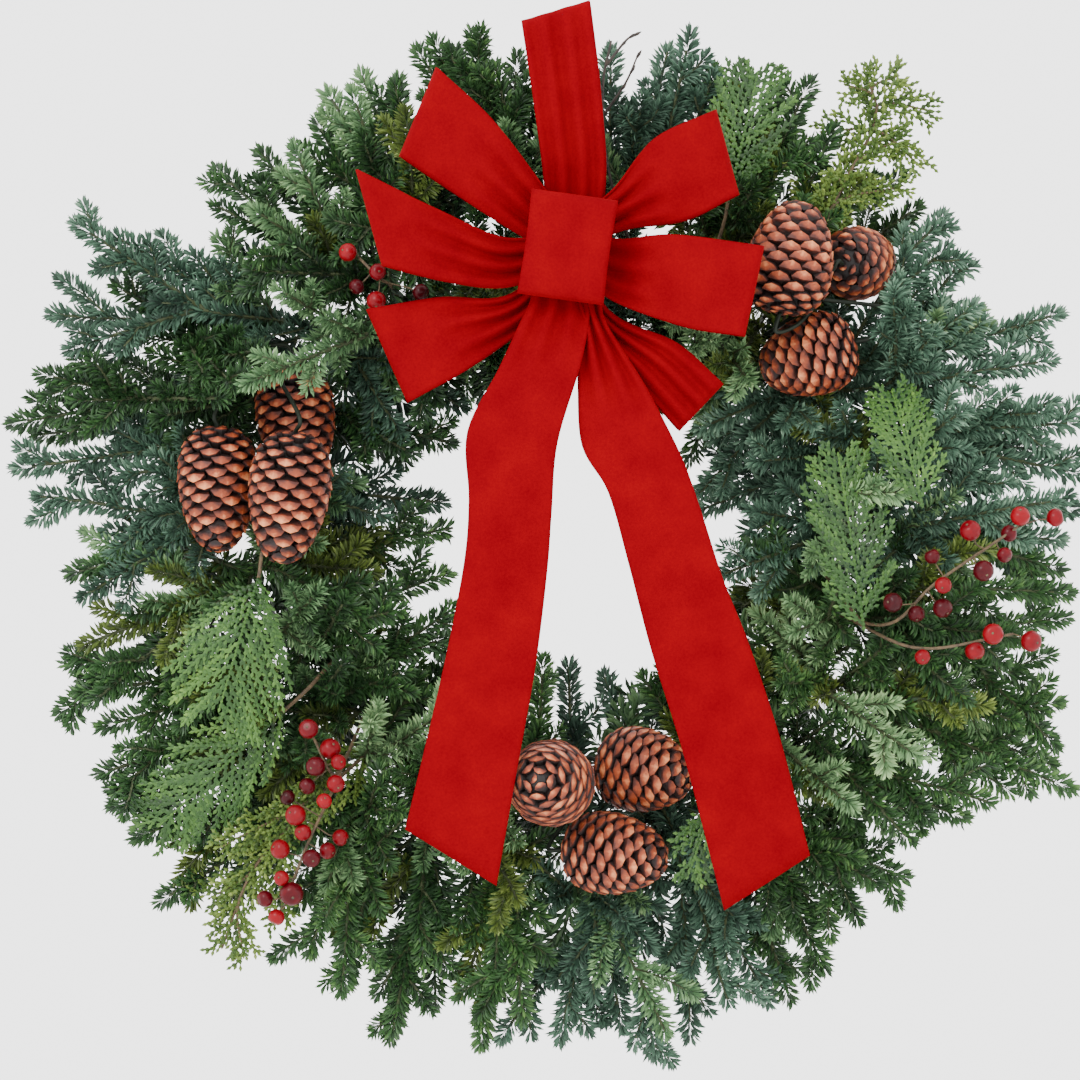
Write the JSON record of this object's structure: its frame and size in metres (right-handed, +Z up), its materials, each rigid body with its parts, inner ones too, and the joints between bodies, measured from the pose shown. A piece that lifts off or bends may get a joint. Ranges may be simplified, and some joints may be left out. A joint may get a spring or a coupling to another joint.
{
  "type": "fresh evergreen wreath",
  "caption": "Round mixed evergreen door wreath on a wire ring, with fir, cedar and juniper sprays, pine cones, red berries and a large red velvet bow with long tails.",
  "frame": {"origin": "the underside of the outer rail of the ring at its top centre, where the wreath hangs on its hook", "axes": "+Z up, +X to the viewer's right, the front faces -Y and the back lies against the door"},
  "size_m": [0.7365, 0.1936, 0.7295],
  "materials": {
    "frame_steel": "dark green enamel on steel wire",
    "florist_wire": "green enamelled wire",
    "fir": "fresh needles, waxy green",
    "blue_fir": "fresh needles with a pale blue bloom",
    "cedar": "fresh scale leaves, bright green",
    "juniper": "fresh scale leaves, olive",
    "bark": "thin bark",
    "pine_cone": "dry woody scales",
    "berry": "smooth shiny skin",
    "velvet": "short dense pile"
  },
  "bodies": {
    "root": {"ring_frame": "frame_steel", "cone_left_top": "pine_cone", "cone_left_outer": "pine_cone", "cone_left_inner": "pine_cone", "cone_right_top": "pine_cone", "cone_right_low": "pine_cone", "cone_right_side": "pine_cone", "cone_bottom_left": "pine_cone", "cone_bottom_right": "pine_cone", "cone_bottom_low": "pine_cone", "cone_wire_left": "florist_wire", "cone_wire_right": "florist_wire", "cone_wire_bottom": "florist_wire", "bow_loop_top": "velvet", "bow_loop_lower_left": "velvet", "bow_loop_lower_right": "velvet", "bow_loop_upper_left": "velvet", "bow_loop_upper_right": "velvet", "bow_loop_mid_left": "velvet", "bow_loop_mid_right": "velvet", "bow_tail_left": "velvet", "bow_tail_right": "velvet", "bow_knot": "velvet", "bow_tie_wire": "florist_wire", "berries_right": "berry", "berries_lower_left": "berry", "berries_upper_left": "berry", "bare_twig": "bark", "fir_bough_01": "fir", "fir_bough_02": "blue_fir", "fir_bough_03": "fir", "fir_bough_04": "fir", "fir_bough_05": "blue_fir", "fir_bough_06": "blue_fir", "fir_bough_07": "blue_fir", "fir_bough_08": "fir", "fir_bough_09": "fir", "fir_bough_10": "fir", "fir_bough_11": "fir", "fir_bough_12": "blue_fir", "fir_bough_13": "blue_fir", "fir_bough_14": "fir", "fir_bough_15": "fir", "fir_bough_16": "fir", "fir_bough_17": "fir", "fir_bough_18": "fir", "fir_bough_19": "fir", "fir_bough_20": "blue_fir", "fir_bough_21": "fir", "fir_bough_22": "blue_fir", "fir_bough_23": "fir", "fir_bough_24": "fir", "juniper_upper_right": "juniper", "juniper_lower_left": "juniper", "cedar_top_right": "cedar", "cedar_right_high": "cedar", "cedar_right": "cedar", "cedar_left": "cedar", "cedar_lower_left": "cedar", "cedar_bottom": "cedar"}
  },
  "joints": []
}
